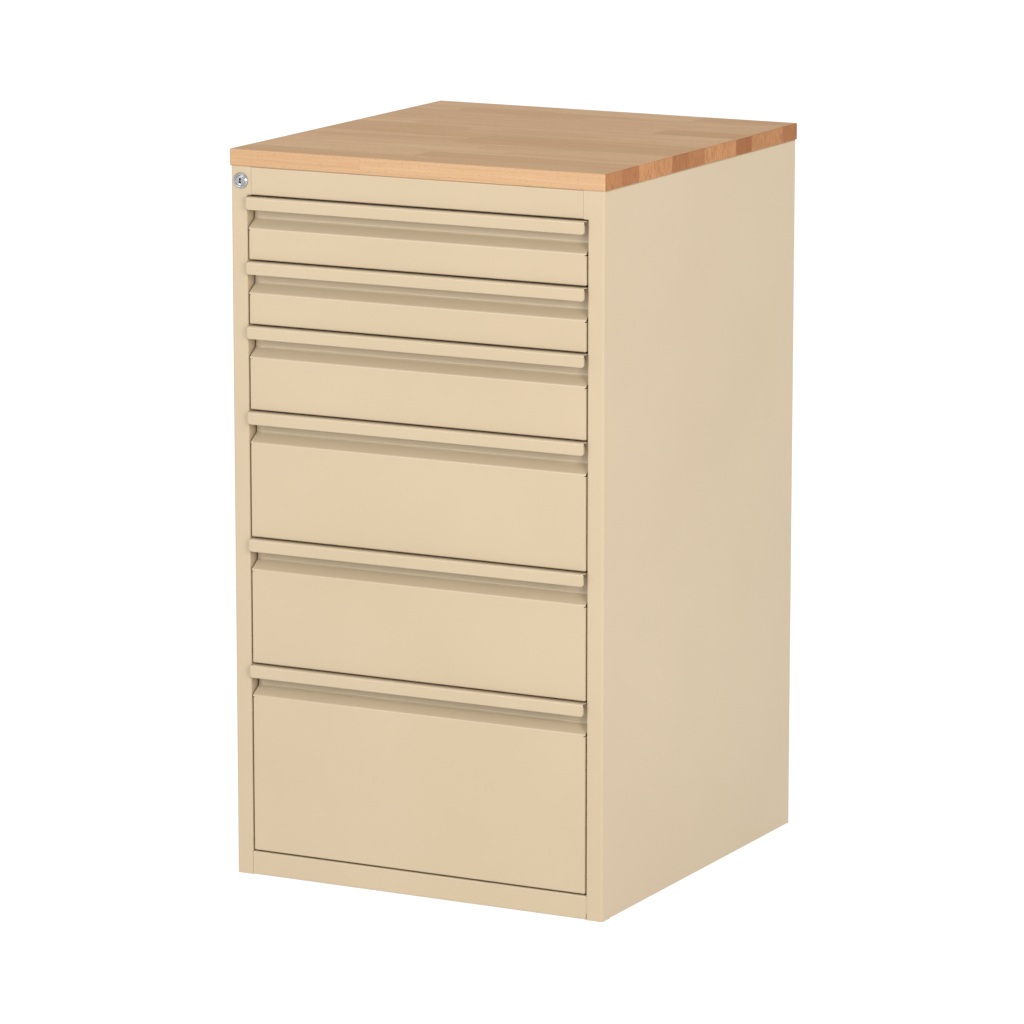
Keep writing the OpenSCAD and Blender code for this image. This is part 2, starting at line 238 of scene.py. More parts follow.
def dress(obj, body, material, slot, *nodes):
    """Gives a piece its material and body, and hides the CAD nodes it stands for."""
    obj.data.materials.clear()
    obj.data.materials.append(material)
    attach(obj, body)
    if nodes:
        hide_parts(*nodes)
    return obj


# ---- Folded sheet ----

def bend(a, p, b, radius, steps):
    """Points of a round bend at corner p, between points a and b."""
    u, v = (a - p).normalized(), (b - p).normalized()
    half = u.angle(v) / 2
    centre = p + (u + v).normalized() * (radius / math.sin(half))
    start = p + u * (radius / math.tan(half)) - centre
    end = p + v * (radius / math.tan(half)) - centre
    sweep = math.atan2(start.x * end.y - start.y * end.x, start.dot(end))
    return [centre + Matrix.Rotation(sweep * k / steps, 2) @ start for k in range(steps + 1)]


def folded(points, radii, steps=6):
    """Centre line of a fold: its inner corners are bent, with one radius for each."""
    corners = [Vector(p) for p in points]
    line = corners[:1]
    for i, radius in enumerate(radii):
        line += bend(corners[i], corners[i + 1], corners[i + 2], radius, steps)
    return line + corners[-1:]


def u_turn(x, z, radius, side, steps=6):
    """Points of a half turn under the point (x, z), towards side (+1 or -1), not counting its first."""
    centre = Vector((x + side * radius, z))
    angles = [math.pi * k / steps for k in range(1, steps + 1)]
    return [centre + Vector((-side * math.cos(a), -math.sin(a))) * radius for a in angles]


PLACE = {
    "x": lambda along, p: Vector((along, p.x, p.y)),
    "y": lambda along, p: Vector((p.x, along, p.y)),
    "z": lambda along, p: Vector((p.x, p.y, along)),
}


def swept(line, axis, stations):
    """Rows of a section line drawn at each station along an axis."""
    return [[PLACE[axis](s, p) for s in stations] for p in line]


def fold(name, points, radii, axis, low, high):
    """A folded strip of one section, from low to high along its axis."""
    return ease_edges(thicken(surface(name, [swept(folded(points, radii), axis, (low, high))])))


def mirrored(points, side):
    """The same section on the right (+1) or on the left (-1)."""
    return [(side * x, y) for x, y in points]


# ---- Materials ----

def new_material(name):
    """A material, its node tree and its shader."""
    material = bpy.data.materials.new(name)
    material.use_nodes = True
    tree = material.node_tree
    return material, tree, tree.nodes["Principled BSDF"]


def add(tree, kind, operation=None, **inputs):
    """Adds a shader node. Inputs are values, or outputs of other nodes; in_0, in_1 name them by place."""
    node = tree.nodes.new(kind)
    if operation:
        node.operation = operation
    for name, value in inputs.items():
        socket = node.inputs[int(name[3:]) if name.startswith("in_") else name]
        if isinstance(value, bpy.types.NodeSocket):
            tree.links.new(value, socket)
        else:
            socket.default_value = value
    return node


def math_node(tree, operation, a, b=0.0):
    """Result of a sum on two values or outputs."""
    return add(tree, "ShaderNodeMath", operation, in_0=a, in_1=b).outputs[0]


def noise(tree, vector, scale, detail=2.0, roughness=0.5):
    """Noise at a scale, from 0 to 1 and mostly near the middle."""
    node = add(tree, "ShaderNodeTexNoise", Vector=vector, Scale=scale, Detail=detail, Roughness=roughness)
    return node.outputs["Fac"]


def stretched(tree, vector, scale):
    """Coordinates scaled by a different amount along each axis."""
    return add(tree, "ShaderNodeVectorMath", "MULTIPLY", in_0=vector, in_1=scale).outputs[0]


def remap(tree, value, low, high, to_low, to_high):
    """Carries the range low to high over to another, and stops at its ends."""
    node = add(tree, "ShaderNodeMapRange", Value=value)
    for name, number in zip(("From Min", "From Max", "To Min", "To Max"), (low, high, to_low, to_high)):
        node.inputs[name].default_value = number
    return node.outputs["Result"]


def spread(tree, value, to_low, to_high):
    """The usual range of a noise, from 0.3 to 0.7, opened out to the given one."""
    return remap(tree, value, 0.3, 0.7, to_low, to_high)


def blend_colours(tree, factor, first, second):
    """The first colour at factor 0, the second at 1."""
    node = tree.nodes.new("ShaderNodeMix")
    node.data_type = "RGBA"
    for socket, value in ((node.inputs[0], factor), (node.inputs[6], first), (node.inputs[7], second)):
        if isinstance(value, bpy.types.NodeSocket):
            tree.links.new(value, socket)
        else:
            socket.default_value = value if isinstance(value, float) else (*value, 1.0)
    return node.outputs[2]


def bump(tree, shader, height, distance, strength=1.0):
    """Fine relief on the shader's surface."""
    node = add(tree, "ShaderNodeBump", Height=height, Distance=distance, Strength=strength)
    tree.links.new(node.outputs["Normal"], shader.inputs["Normal"])


def object_coordinates(tree):
    """Places on the piece, in metres."""
    return tree.nodes.new("ShaderNodeTexCoord").outputs["Object"]


def powder_coat():
    """Beige powder coat: satin, with fine orange peel and a faint unevenness of tone."""
    material, tree, shader = new_material("powder_coat")
    place = object_coordinates(tree)
    cloudy = noise(tree, place, 5.0, 3.0)
    speckle = noise(tree, place, 1400.0, 1.0)
    tone = blend_colours(tree, remap(tree, cloudy, 0.35, 0.65, 0.0, 1.0), PAINT_LIGHT, PAINT_DEEP)
    colour = blend_colours(tree, spread(tree, speckle, 0.0, 0.12), tone, PAINT_SPECK)
    tree.links.new(colour, shader.inputs["Base Color"])
    peel = noise(tree, place, 620.0, 2.0, 0.45)
    tree.links.new(spread(tree, peel, *PAINT_ROUGHNESS), shader.inputs["Roughness"])
    bump(tree, shader, peel, 0.03 * MM, 0.6)
    shader.inputs["Specular IOR Level"].default_value = PAINT_SPECULAR
    return material


def stave_place(tree, place, seed):
    """Coordinates moved by a different amount in each stave, so that no two staves share their wood."""
    shift = add(tree, "ShaderNodeCombineXYZ", X=seed, Y=seed, Z=math_node(tree, "MULTIPLY", seed, 1.7))
    return add(tree, "ShaderNodeVectorMath", "ADD", in_0=place, in_1=shift.outputs[0]).outputs[0]


def growth_rings(tree, own_place, seed):
    """Uneven rings about a pith that lies near the stave, at a place of its own."""
    parts = add(tree, "ShaderNodeSeparateXYZ", Vector=own_place)
    mixed = math_node(tree, "FRACT", math_node(tree, "MULTIPLY", seed, 3.3))
    from_pith_y = math_node(tree, "MULTIPLY", math_node(tree, "SUBTRACT", mixed, 0.5), 0.16)
    across = math_node(tree, "PINGPONG", parts.outputs["Y"], 0.05)
    local_y = math_node(tree, "SUBTRACT", across, from_pith_y)
    local_z = math_node(tree, "ADD", math_node(tree, "PINGPONG", parts.outputs["Z"], 0.4), 0.03)
    square_y = math_node(tree, "POWER", local_y, 2.0)
    square_z = math_node(tree, "POWER", local_z, 2.0)
    radius = math_node(tree, "SQRT", math_node(tree, "ADD", square_y, square_z))
    wander = noise(tree, stretched(tree, own_place, (2.2, 16.0, 16.0)), 1.0, 3.0)
    even = math_node(tree, "MULTIPLY", radius, 310.0)
    uneven = math_node(tree, "ADD", even, math_node(tree, "MULTIPLY", wander, 7.0))
    rings = add(tree, "ShaderNodeTexNoise", Scale=1.0, Detail=2.0)
    rings.noise_dimensions = "1D"
    tree.links.new(uneven, rings.inputs["W"])
    return rings.outputs["Fac"]


def beech():
    """Edge-glued beech: every stave has its own tone and its own rings, and the ends are darker."""
    material, tree, shader = new_material("beech")
    place = object_coordinates(tree)
    tone = add_attribute(tree, "stave_tone")
    seed = add_attribute(tree, "stave_seed")
    end = add_attribute(tree, "end_grain")
    own_place = stave_place(tree, place, seed)
    rings = growth_rings(tree, own_place, seed)
    fibre = noise(tree, stretched(tree, own_place, (14.0, 900.0, 900.0)), 1.0, 2.0)
    fleck = noise(tree, stretched(tree, own_place, (230.0, 1500.0, 1500.0)), 1.0, 1.0)
    light = blend_colours(tree, tone, WOOD_PALE, WOOD_DEEP)
    ringed = blend_colours(tree, remap(tree, rings, 0.35, 0.7, 0.0, 0.34), light, WOOD_RING)
    fibrous = blend_colours(tree, remap(tree, fibre, 0.4, 0.75, 0.0, 0.3), ringed, WOOD_RING)
    flecked = blend_colours(tree, remap(tree, fleck, 0.60, 0.70, 0.0, 0.5), fibrous, WOOD_FLECK)
    end_tone = blend_colours(tree, tone, END_PALE, END_DEEP)
    streaks = noise(tree, stretched(tree, own_place, (1.0, 420.0, 90.0)), 1.0, 3.0, 0.6)
    ends = blend_colours(tree, remap(tree, streaks, 0.45, 0.75, 0.0, 0.7), end_tone, END_RING)
    colour = blend_colours(tree, end, flecked, ends)
    tree.links.new(colour, shader.inputs["Base Color"])
    tree.links.new(remap(tree, fibre, 0.3, 0.8, *WOOD_ROUGHNESS), shader.inputs["Roughness"])
    height = math_node(tree, "ADD", fibre, math_node(tree, "MULTIPLY", fleck, 0.6))
    bump(tree, shader, height, 0.04 * MM, 0.5)
    shader.inputs["Specular IOR Level"].default_value = WOOD_SPECULAR
    return material


def add_attribute(tree, name):
    """A value stored on the faces of the mesh."""
    node = tree.nodes.new("ShaderNodeAttribute")
    node.attribute_name = name
    return node.outputs["Fac"]


def zinc():
    """Bright zinc plate, with rolling marks along the slides and a cloudy tone."""
    material, tree, shader = new_material("zinc")
    place = object_coordinates(tree)
    marks = noise(tree, stretched(tree, place, (1800.0, 12.0, 1800.0)), 1.0, 2.0)
    cloudy = noise(tree, place, 45.0, 3.0)
    colour = blend_colours(tree, remap(tree, cloudy, 0.35, 0.65, 0.0, 1.0), ZINC_LIGHT, ZINC_DEEP)
    tree.links.new(colour, shader.inputs["Base Color"])
    shader.inputs["Metallic"].default_value = 1.0
    tree.links.new(spread(tree, marks, *ZINC_ROUGHNESS), shader.inputs["Roughness"])
    bump(tree, shader, marks, 0.01 * MM, 0.5)
    return material


def chrome():
    """Polished chrome plate with a faint haze."""
    material, tree, shader = new_material("chrome")
    place = object_coordinates(tree)
    haze = noise(tree, place, 300.0, 3.0)
    colour = blend_colours(tree, spread(tree, haze, 0.0, 1.0), CHROME_LIGHT, CHROME_DEEP)
    tree.links.new(colour, shader.inputs["Base Color"])
    shader.inputs["Metallic"].default_value = 1.0
    tree.links.new(spread(tree, haze, *CHROME_ROUGHNESS), shader.inputs["Roughness"])
    bump(tree, shader, haze, 0.01 * MM, 0.3)
    return material


def keyhole_shade():
    """Painted shade inside the keyhole: a near-black colour with a faint mottle, standing for the shade
    deep in the narrow hole rather than the metal's own colour.
    """
    material, tree, shader = new_material("keyhole_shade")
    shade_mottle = noise(tree, object_coordinates(tree), 900.0, 3.0)
    colour = blend_colours(tree, shade_mottle, KEYWAY_SHADE_DEEP, KEYWAY_SHADE_MOTTLE)
    tree.links.new(colour, shader.inputs["Base Color"])
    tree.links.new(spread(tree, shade_mottle, *KEYWAY_ROUGHNESS), shader.inputs["Roughness"])
    bump(tree, shader, shade_mottle, 0.02 * MM, 0.5)
    return material


def pale_floor():
    """Plain pale floor with a faint glow of its own."""
    material, tree, shader = new_material("pale_floor")
    mottle = noise(tree, object_coordinates(tree), 3.0, 2.0)
    colour = blend_colours(tree, mottle, FLOOR_DEEP, FLOOR_LIGHT)
    tree.links.new(colour, shader.inputs["Base Color"])
    shader.inputs["Roughness"].default_value = FLOOR_ROUGHNESS
    shader.inputs["Emission Color"].default_value = (*WHITE, 1.0)
    shader.inputs["Emission Strength"].default_value = FLOOR_GLOW
    return material


PAINT = powder_coat()
WOOD = beech()
ZINC = zinc()
CHROME = chrome()
# Painted shade for the keyhole's inner faces
KEYHOLE_SHADE = keyhole_shade()


# ---- Cabinet ----

def side_panel(name, side):
    """Side wall with its front stile and return, rear flange, and top and bottom flanges."""
    wall_x = HALF_W - SHEET / 2
    face_y = FRONT_Y + SHEET / 2
    rear_y = BACK_Y - SHEET / 2
    return_x = OPENING_X + SHEET / 2
    turn_x = return_x + SMALL_BEND
    top_z = BODY_TOP - SHEET / 2
    low_turn = SHEET / 2 + SMALL_BEND
    high_turn = top_z - SMALL_BEND
    top_start = face_y + EDGE_BEND + RELIEF
    flange_end = CASE_BACK_Y - RELIEF
    heights = [0, low_turn, OPENING_TOP, high_turn, BODY_TOP]

    def upright_rows(points, zs):
        return swept([Vector((side * x, y)) for x, y in points], "z", zs)

    def flange(edge_z, turn_z, starts):
        section = mirrored([(wall_x, turn_z), (wall_x, edge_z), (FLANGE_X, edge_z)], side)
        return swept(folded(section, [SMALL_BEND]), "y", starts)

    front = folded([(turn_x, face_y), (wall_x, face_y), (wall_x, top_start)], [EDGE_BEND])
    rear = folded([(wall_x, flange_end), (wall_x, rear_y), (FLANGE_X, rear_y)], [EDGE_BEND])
    inner_return = folded([(return_x, FRONT_Y + RETURN_D), (return_x, face_y), (turn_x, face_y)],
                          [SMALL_BEND - WELD])
    grids = [
        upright_rows(front, heights),
        upright_rows([(wall_x, top_start), (wall_x, FLOOR_Y)], heights[:4]),
        upright_rows([(wall_x, FLOOR_Y), (wall_x, flange_end)], heights[1:4]),
        upright_rows(rear, heights),
        upright_rows(inner_return, heights[:3]),
        upright_rows([(FLANGE_X, face_y), (turn_x, face_y)], heights[2:]),
        flange(top_z, high_turn, (top_start, FLOOR_Y, flange_end)),
        flange(SHEET / 2, low_turn, (FLOOR_Y, flange_end)),
    ]
    return thicken(surface(name, grids))


def cylinder(name, centre, radius, low_y, high_y, sides=48):
    """A plain rod along Y, used for cutting holes."""
    ring = [Vector((centre.x + radius * math.cos(a), centre.z + radius * math.sin(a)))
            for a in (2 * math.pi * k / sides for k in range(sides + 1))]
    middle = Vector((centre.x, centre.z))
    grids = [swept(ring, "y", (low_y, high_y))]
    grids += [[[PLACE["y"](y, p), PLACE["y"](y, middle)] for p in ring] for y in (low_y, high_y)]
    return surface(name, grids)


def side_panels():
    """Both side panels; the left one has the lock's hole."""
    right = ease_edges(side_panel("right_side_sheet", 1))
    dress(right, "cabinet", PAINT, "powder_coat", "right_side_panel")
    left = side_panel("left_side_sheet", -1)
    hole_r, past = BARREL_R + HOLE_PLAY, 5 * MM
    hole = cylinder("lock_hole", LOCK_AXIS, hole_r, FRONT_Y - past, FRONT_Y + past)
    ease_edges(cut(left, hole))
    dress(left, "cabinet", PAINT, "powder_coat", "left_side_panel")


def front_rails():
    """Rails above and below the drawers, each with two flanges that run back."""
    for node in ("top_rail", "bottom_rail"):
        low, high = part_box(node)
        face_y, z0, z1 = FRONT_Y + SHEET / 2, low.z + SHEET / 2, high.z - SHEET / 2
        section = [(FRONT_Y + RETURN_D, z0), (face_y, z0), (face_y, z1), (high.y, z1)]
        rail = fold(f"{node}_sheet", section, [SMALL_BEND] * 2, "x", low.x, high.x)
        dress(rail, "cabinet", PAINT, "powder_coat", node)


def rear_and_base():
    """Rail across the top of the back, base pan and back panel."""
    low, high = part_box("rear_top_rail")
    z, y = high.z - SHEET / 2, high.y - SHEET / 2
    rail = fold("rear_top_rail_sheet", [(low.y, z), (y, z), (y, low.z)], [SMALL_BEND], "x", low.x, high.x)
    dress(rail, "cabinet", PAINT, "powder_coat", "rear_top_rail")
    low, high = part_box("base_pan")
    x, z = high.x - SHEET / 2, high.z - SHEET / 2
    section = [(-x, low.z), (-x, z), (x, z), (x, low.z)]
    pan = fold("base_pan_sheet", section, [SMALL_BEND] * 2, "y", low.y, high.y)
    dress(pan, "cabinet", PAINT, "powder_coat", "base_pan")
    low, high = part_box("back_panel")
    y = (low.y + high.y) / 2
    plate = swept([Vector((low.x, y)), Vector((high.x, y))], "z", (low.z, high.z))
    back = ease_edges(thicken(surface("back_sheet", [plate])))
    dress(back, "cabinet", PAINT, "powder_coat", "back_panel")


def uprights():
    """Channels behind the stiles, which carry the slides."""
    for end in ("front", "rear"):
        for word, side in (("left", -1), ("right", 1)):
            node = f"{end}_{word}_upright"
            low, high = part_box(node)
            outer, inner = HALF_W - 1.5 * SHEET, OPENING_X + SHEET / 2
            y = low.y + SHEET / 2
            section = [(outer, low.y + UPRIGHT_LEG), (outer, y), (inner, y), (inner, high.y)]
            channel = fold(f"{node}_sheet", mirrored(section, side), [SMALL_BEND] * 2, "z", low.z, high.z)
            dress(channel, "cabinet", PAINT, "powder_coat", node)


# ---- Worktop ----

def stave_joints(low_x, high_x, chance):
    """Places of the butt joints along one row of staves."""
    joints = [low_x]
    reach = low_x + chance.uniform(0.06, 0.30)
    while reach < high_x - SHORTEST_STAVE:
        joints.append(reach)
        reach += chance.uniform(0.17, 0.36)
    return joints + [high_x]


def worktop():
    """Solid slab, whose faces are split along the glue lines so that each stave has its own wood."""
    low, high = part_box("worktop")
    chance = random.Random(STAVE_SEED)
    rows = [low.y + (high.y - low.y) * k / STAVE_ROWS for k in range(STAVE_ROWS + 1)]
    joints = [stave_joints(low.x, high.x, chance) for _ in range(STAVE_ROWS)]
    staves = []
    for row, places in enumerate(joints):
        for start, end in zip(places, places[1:]):
            tone = END_TONES[row] if end == high.x else chance.uniform(0.0, 0.8)
            staves.append((start, end, rows[row], rows[row + 1], tone, chance.uniform(0.0, 9.0)))
    columns = sorted({x for places in joints for x in places})
    obj = slab("worktop_staves", columns, rows, (low.z, high.z))
    paint_staves(obj.data, staves)
    ease_edges(obj, WOOD_EASE, 3)
    dress(obj, "cabinet", WOOD, "beech", "worktop")


def slab(name, xs, ys, zs):
    """Closed box whose faces are split at the given places."""
    bm = bmesh.new()
    for z in zs:
        add_grid(bm, [[Vector((x, y, z)) for x in xs] for y in ys])
    for x in (xs[0], xs[-1]):
        add_grid(bm, [[Vector((x, y, z)) for y in ys] for z in zs])
    for y in (ys[0], ys[-1]):
        add_grid(bm, [[Vector((x, y, z)) for x in xs] for z in zs])
    return object_from(bm, name)


def paint_staves(mesh, staves):
    """Writes each face's stave, and whether it shows end grain, as attributes for the material."""
    names = ("stave_tone", "stave_seed", "end_grain")
    layers = {name: mesh.attributes.new(name, "FLOAT", "FACE").data for name in names}
    for face in mesh.polygons:
        at = face.center
        for start, end, y0, y1, tone, seed in staves:
            if start - WELD <= at.x <= end + WELD and y0 - WELD <= at.y <= y1 + WELD:
                layers["stave_tone"][face.index].value = tone
                layers["stave_seed"][face.index].value = seed
        layers["end_grain"][face.index].value = 1.0 if abs(face.normal.x) > 0.5 else 0.0


# ---- Lock ----

def lathe(name, profile, centre, segments=72):
    """Turns a profile of (radius, distance in front of the stile) about the lock's axis."""
    angles = [2 * math.pi * k / segments for k in range(segments + 1)]
    rows = [[Vector((centre.x + r * math.cos(a), FRONT_Y - out, centre.z + r * math.sin(a)))
             for r, out in profile] for a in angles]
    return surface(name, [rows])


def lock_housing():
    """Bezel with a rolled rim and a dished ring, on a barrel whose thread is drawn as closed ridges."""
    rim = (LOCK_HIGH.x - LOCK_LOW.x) / 2
    bore = (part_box("lock_plug")[1].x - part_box("lock_plug")[0].x) / 2 + 0.08 * MM
    proud, back = BEZEL_PROUD, FRONT_Y - LOCK_HIGH.y
    profile = [(bore, back), (bore, proud - 0.5 * MM), (bore + 0.4 * MM, proud - 0.1 * MM),
               (bore + 0.9 * MM, proud), (bore + 1.3 * MM, proud - 0.15 * MM),
               (bore + 1.5 * MM, proud - 0.5 * MM), (rim - 1.4 * MM, 1.7 * MM),
               (rim - 1.0 * MM, 1.65 * MM), (rim - 0.45 * MM, 1.35 * MM), (rim - 0.1 * MM, 0.8 * MM),
               (rim, 0.35 * MM), (rim - 0.05 * MM, 0), (BARREL_R, 0), (BARREL_R, -2 * MM)]
    pitch, depth = 1.0 * MM, 0.45 * MM
    turns = int((-back - 4 * MM) / pitch)
    for k in range(turns):
        start = -2.5 * MM - k * pitch
        profile += [(BARREL_R - depth, start), (BARREL_R, start - pitch / 2)]
    profile += [(BARREL_R - 0.5 * MM, back), (bore, back)]
    housing = ease_edges(lathe("lock_bezel", profile, LOCK_AXIS), BEZEL_EASE)
    dress(housing, "cabinet", CHROME, "chrome", "lock_housing")


def close_between(bm, first, last):
    """Closes a prism: both of its end rings, and the faces between them."""
    bm.faces.new(first)
    bm.faces.new(last)
    for k in range(len(first)):
        n = (k + 1) % len(first)
        bm.faces.new((first[k], first[n], last[n], last[k]))


def keyhole(centre, front_y):
    """Cutter in the shape of a double-sided key's slot: two round ends joined by a narrow waist."""
    lobe, waist, reach = 1.35 * MM, 0.65 * MM, 1.9 * MM
    turn = math.asin(waist / lobe)
    steps = 10
    angles = [turn - math.pi + (2 * math.pi - 2 * turn) * k / steps for k in range(steps + 1)]
    upper = [Vector((math.sin(a), math.cos(a))) * lobe + Vector((0, reach)) for a in angles]
    outline = upper + [-p for p in upper]
    bm = bmesh.new()
    rings = [[bm.verts.new((centre.x + p.x, y, centre.z + p.y)) for p in outline]
             for y in (front_y - 2 * MM, front_y + 11 * MM)]
    close_between(bm, *rings)
    return object_from(bm, "keyhole")


def lock_plug():
    """Plug with a slightly sunk face inside its rim, and the keyhole."""
    low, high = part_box("lock_plug")
    centre = (low + high) / 2
    radius = (high.x - low.x) / 2
    out, back = FRONT_Y - low.y, FRONT_Y - high.y
    tail = 3 * MM
    shoulder = back + 2 * MM
    sunk = out - 0.2 * MM
    profile = [(0, sunk), (radius - 1.6 * MM, sunk), (radius - 0.9 * MM, out - 0.02 * MM),
               (radius - 0.5 * MM, out), (radius - 0.15 * MM, out - 0.1 * MM), (radius, out - 0.4 * MM),
               (radius, shoulder), (tail, shoulder), (tail, back), (0, back)]
    plug = lathe("lock_plug_face", profile, centre)
    ease_edges(cut(plug, keyhole(centre, low.y)), METAL_EASE)
    dress(plug, "lock_core", CHROME, "chrome", "lock_plug")
    # The keyhole's inner faces get the second material, a painted shade that stands for the darkness deep
    # in the hole
    plug.data.materials.append(KEYHOLE_SHADE)
    for face in plug.data.polygons:
        off = Vector((face.center.x - centre.x, face.center.z - centre.z)).length
        inside = off < radius - 1.7 * MM and low.y + 0.3 * MM < face.center.y < high.y - 3 * MM
        face.material_index = 1 if inside else 0


def lock_inside():
    """The cam, nut, bar and guides keep their CAD shapes and get the zinc finish."""
    for node in ("lock_nut", "lock_cam", "lock_cam_screw", "lock_bar", "lock_bar_guides"):
        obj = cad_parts[node]
        obj.data.materials.clear()
        obj.data.materials.append(ZINC)


# ---- Screws ----

def corners_of(points):
    """Lowest and highest corner of the box round some points."""
    return tuple(Vector(pick(p[k] for p in points) for k in range(3)) for pick in (min, max))


def solids_of(node):
    """Lowest and highest corner of each separate solid of a CAD node."""
    bm = bmesh.new()
    bm.from_mesh(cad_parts[node].data)
    bmesh.ops.remove_doubles(bm, verts=bm.verts, dist=WELD)
    seen, found = set(), []
    for first in list(bm.verts):
        if first in seen:
            continue
        seen.add(first)
        group = [first]
        for vert in group:
            near = [e.other_vert(vert) for e in vert.link_edges]
            fresh = [v for v in near if v not in seen]
            seen.update(fresh)
            group += fresh
        found.append(corners_of([v.co for v in group]))
    bm.free()
    return found


def screw_mesh(head_r, head_h, shank_r, length):
    """Pan-head screw with a cross recess; the head's underside is at z = 0 and the head points up."""
    profile = [(0, head_h), (0.35 * head_r, 0.97 * head_h), (0.7 * head_r, 0.8 * head_h),
               (0.93 * head_r, 0.45 * head_h), (head_r, 0), (shank_r, 0), (shank_r, 1.5 * shank_r - length),
               (0.3 * shank_r, -length), (0, -length)]
    sides = 32
    angles = [2 * math.pi * k / sides for k in range(sides + 1)]
    screw = surface("screw", [[[Vector((r * math.cos(a), r * math.sin(a), z)) for r, z in profile]
                               for a in angles]])
    arm, half = 0.5 * head_r, 0.11 * head_r
    corner = [Vector((half, arm)), Vector((half, half)), Vector((arm, half))]
    outline = [Matrix.Rotation(-math.pi / 2 * k, 2) @ p for k in range(4) for p in corner]
    bm = bmesh.new()
    rim = [bm.verts.new((p.x, p.y, 2 * head_h)) for p in outline]
    floor = [bm.verts.new((0.7 * p.x, 0.7 * p.y, 0.2 * head_h)) for p in outline]
    close_between(bm, rim, floor)
    cut(screw, object_from(bm, "recess"))
    mesh = screw.data
    bpy.data.objects.remove(screw)
    return mesh


def head_direction(middle, along):
    """Level screws have their heads towards the middle of the cabinet, upright ones have theirs below."""
    if along == X_AXIS:
        return Vector((-math.copysign(1, middle.x), 0, 0))
    return Vector((0, 0, -1))


def screws(name, node, body, head_h, along):
    """One piece with all the screws of a CAD node, which lie along one axis."""
    found = solids_of(node)
    size = found[0][1] - found[0][0]
    across = (along + 1) % 3
    head_r, length = size[across] / 2, size[along] - head_h
    one = screw_mesh(head_r, head_h, SHANK_SHARE[along] * head_r, length)
    bm = bmesh.new()
    for low, high in found:
        middle = (low + high) / 2
        direction = head_direction(middle, along)
        turn = Vector((0, 0, 1)).rotation_difference(direction).to_matrix().to_4x4()
        seat = middle + direction * (size[along] / 2 - head_h)
        before = len(bm.verts)
        bm.from_mesh(one)
        fresh = list(bm.verts)[before:]
        bmesh.ops.transform(bm, matrix=Matrix.Translation(seat) @ turn, verts=fresh)
    mesh = bpy.data.meshes.new(name)
    bm.to_mesh(mesh)
    bm.free()
    obj = ease_edges(link(bpy.data.objects.new(name, mesh)), METAL_EASE)
    dress(obj, body, ZINC, "zinc", node)


def all_screws():
    """Screws of the worktop, of the slides in the cabinet, and of the slides on each drawer."""
    screws("worktop_screw_set", "worktop_screws", "cabinet", WORKTOP_HEAD_H, Z_AXIS)
    screws("slide_screw_set", "slide_screws", "cabinet", SLIDE_HEAD_H, X_AXIS)
    for n in DRAWERS:
        node = f"drawer_{n}_rail_screws"
        screws(f"drawer_{n}_rail_screw_set", node, f"drawer_{n}", SLIDE_HEAD_H, X_AXIS)


# ---- Drawers ----

def corner_inset(distance, radius):
    """How far a rounded corner stands in from the end, at a distance from the edge."""
    if distance >= radius:
        return 0.0
    return radius - math.sqrt(max(radius ** 2 - (radius - distance) ** 2, 0.0))


def front_line(top, face_y, wall_y, lip_y):
    """Centre line of a front above its face in (y, z): crest, slope, recess, lip and hem."""
    top_z = top - SHEET / 2
    lip_foot = top - LIP_H + SHEET / 2
    turn_z = lip_foot + HEM_BEND
    corner = [lip_foot + LIP_CORNER_LOW * (1 - math.sin(math.radians(15 * k))) for k in range(6)]
    corner = [z for z in corner if z > turn_z + HEM_BEND / 2]
    shelf_y = lip_y + EDGE_BEND + SHELF_D
    crest, foot = (face_y, top - CREST_DROP), (wall_y, top - FOOT_DROP)
    below_crest = (face_y, top - CREST_DROP - 9 * MM)
    line = folded([below_crest, crest, foot, (wall_y, top_z), (shelf_y, top_z)],
                  [CREST_BEND, FOOT_BEND, SMALL_BEND])[1:]
    line += folded([(shelf_y, top_z), (lip_y, top_z), (lip_y, corner[0])], [EDGE_BEND])[1:]
    line += [Vector((lip_y, z)) for z in corner[1:] + [turn_z]]
    line += u_turn(lip_y, turn_z, HEM_BEND, 1)
    flap_y = lip_y + FLAP_GAP
    return line + [Vector((flap_y, z)) for z in reversed(corner)] + [Vector((flap_y, lip_foot + HEM_H))]


def drawer_front(n):
    """Front folded from one sheet: a pan-shaped face, the recess above it and the pull lip."""
    node = f"drawer_{n}_front"
    low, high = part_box(node)
    half, top = high.x, high.z
    face_y, wall_y, lip_y = FRONT_Y + SHEET / 2, BOX_Y - SHEET / 2, low.y + SHEET / 2
    line = front_line(top, face_y, wall_y, lip_y)
    lip_foot = top - LIP_H + SHEET / 2
    flat_x = half - SHEET / 2 - SMALL_BEND
    inner_x = half - PAN_STRIP
    flat_z = low.z + SHEET / 2 + SMALL_BEND
    crest_z = line[0].y
    relief_z = crest_z - RELIEF

    def columns(step):
        return [step - half, step - flat_x, -inner_x, inner_x, flat_x - step, half - step]

    rows = []
    for p in line:
        step = lip_inset(p, top, lip_y, lip_foot)
        rows.append([Vector((x, p.x, p.y)) for x in columns(step)])
    face = [[Vector((x, face_y, z)) for x in (-flat_x, -inner_x, inner_x, flat_x)]
            for z in (flat_z, relief_z, crest_z)]
    grids = [rows, face, pan_edge(flat_x, inner_x, flat_z, relief_z, face_y)]
    front = ease_edges(thicken(surface(f"{node}_sheet", grids)))
    dress(front, f"drawer_{n}", PAINT, "powder_coat", node)


def lip_inset(p, top, lip_y, lip_foot):
    """How far the lip's rounded end stands in at a point of the front's line."""
    if p.x > lip_y + EDGE_BEND + SHELF_D / 2:
        return 0.0
    from_top = corner_inset(top - SHEET / 2 - p.y, LIP_CORNER_TOP)
    return max(from_top, corner_inset(p.y - lip_foot, LIP_CORNER_LOW))


